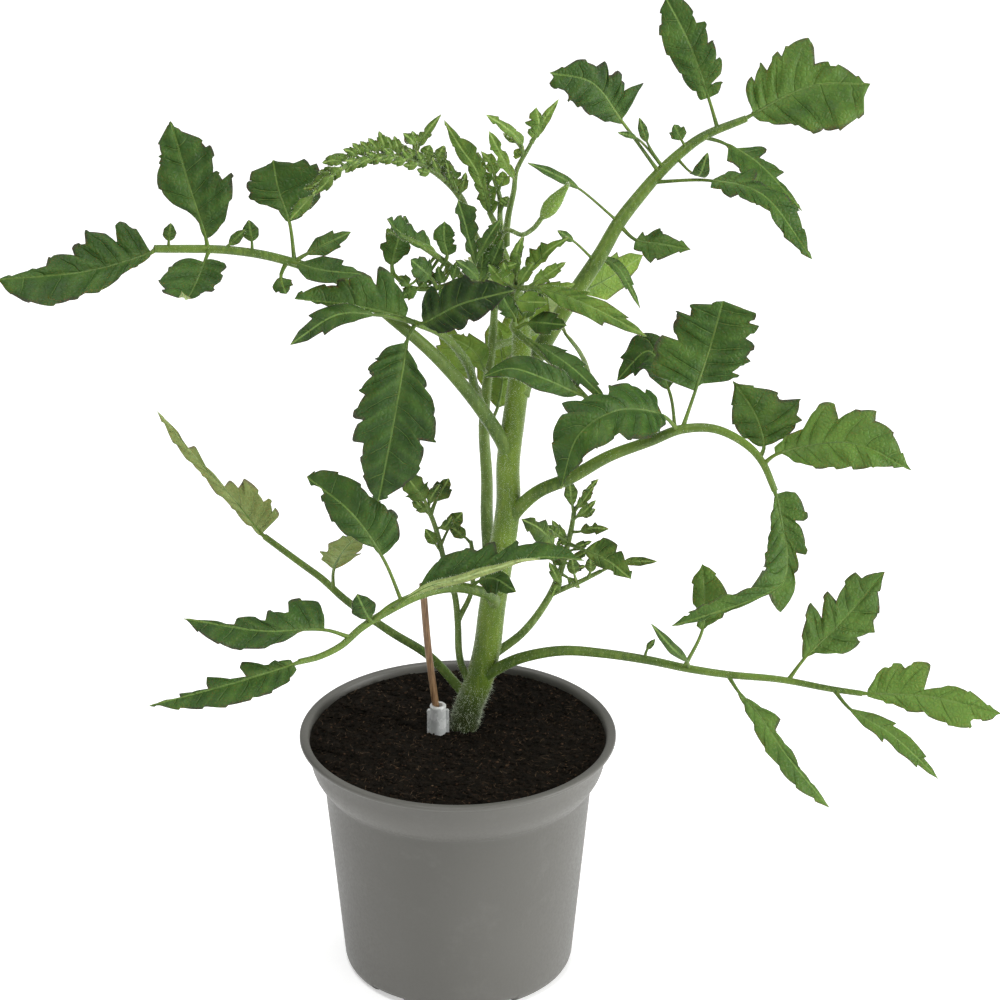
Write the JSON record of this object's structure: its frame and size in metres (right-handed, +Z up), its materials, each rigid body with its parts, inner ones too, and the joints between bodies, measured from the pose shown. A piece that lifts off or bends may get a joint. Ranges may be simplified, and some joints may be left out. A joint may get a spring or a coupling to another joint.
{
  "type": "potted tomato plant",
  "caption": "Young tomato plant with toothed compound leaves, side shoots and a flower bud, growing in a filled round nursery pot with a short support stick.",
  "frame": {"origin": "middle of the flat pad under the pot, on the ground plane", "axes": "+Z up, +Y away from the side the plant is seen from, +X to the right"},
  "size_m": [0.364, 0.1513, 0.3691],
  "materials": {
    "pot": "moulded grey, satin",
    "soil": "damp crumbly peat, matte",
    "stem": "green, finely haired",
    "leaf": "dark green, slightly glossy above",
    "young_leaf": "bright green, haired",
    "stick": "copper brown",
    "clip": "clear",
    "bud": "pale green, haired"
  },
  "bodies": {
    "root": {"pot": "pot", "soil": "soil", "main_stem": "stem", "support_stick": "stick", "support_clip": "clip", "leaf_upper_left": "leaf", "leaf_upper_centre": "leaf", "leaf_upper_right": "leaf", "leaf_right_arch": "leaf", "leaf_lower_right": "leaf", "leaf_lower_left_back": "leaf", "leaf_lower_left_front": "leaf", "shoot_left": "young_leaf", "shoot_right": "young_leaf", "shoot_back": "young_leaf", "crown_leaf_arching": "young_leaf", "crown_leaf_tip": "young_leaf", "crown_leaf_left": "leaf", "crown_leaf_front": "young_leaf", "crown_leaf_right": "leaf", "flower_bud": "bud"}
  },
  "joints": []
}
